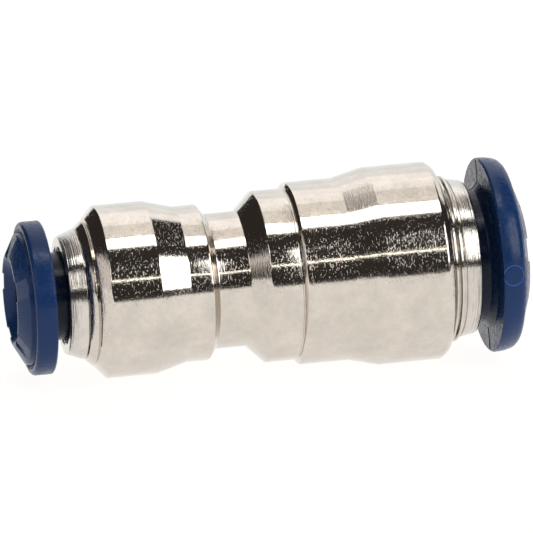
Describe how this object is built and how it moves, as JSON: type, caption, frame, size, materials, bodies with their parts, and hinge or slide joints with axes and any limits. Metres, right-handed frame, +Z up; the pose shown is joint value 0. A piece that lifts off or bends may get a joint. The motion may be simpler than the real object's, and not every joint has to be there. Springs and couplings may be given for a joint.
{
  "type": "push to connect fitting",
  "caption": "Straight reducing push to connect fitting: a stepped plated metal body with a collar and a sliding blue release button at each end, for a thin tube and a thicker one.",
  "frame": {"origin": "middle of the fitting's overall length, on its axis", "axes": "+X along the axis from the 4 mm port to the 6 mm port; +Z up with the fitting lying on its side"},
  "size_m": [0.0326, 0.0126, 0.0124],
  "materials": {
    "plated_body": "turned brass with bright nickel plating, fine circumferential tool lines",
    "plated_collar": "turned brass with bright nickel plating",
    "blue_plastic": "moulded navy blue plastic, half gloss",
    "stainless_spring": "stamped stainless spring strip",
    "plain_brass": "turned, unplated",
    "black_rubber": "moulded nitrile rubber"
  },
  "bodies": {
    "fitting": {"fitting_body": "plated_body", "small_collar": "plated_collar", "small_backing_ring": "plain_brass", "small_seal_ring": "black_rubber", "large_collar": "plated_collar", "large_backing_ring": "plain_brass", "large_seal_ring": "black_rubber"},
    "small_grip": {"small_grip_ring": "stainless_spring"},
    "small_button": {"small_release_button": "blue_plastic"},
    "large_grip": {"large_grip_ring": "stainless_spring"},
    "large_button": {"large_release_button": "blue_plastic"}
  },
  "joints": [
    {"name": "small_swivel", "type": "hinge", "parent": "fitting", "child": "small_grip", "pos_m": [-0.009, 0, 0], "axis": [1, 0, 0], "continuous": true},
    {"name": "small_press", "type": "slide", "parent": "small_grip", "child": "small_button", "axis": [1, 0, 0], "range_m": [0, 0.0009], "stiffness_N_per_m": 1000, "springref_m": -0.0005},
    {"name": "large_swivel", "type": "hinge", "parent": "fitting", "child": "large_grip", "pos_m": [0.008, 0, 0], "axis": [1, 0, 0], "continuous": true},
    {"name": "large_press", "type": "slide", "parent": "large_grip", "child": "large_button", "axis": [-1, 0, 0], "range_m": [0, 0.00098], "stiffness_N_per_m": 1000, "springref_m": -0.0005}
  ]
}
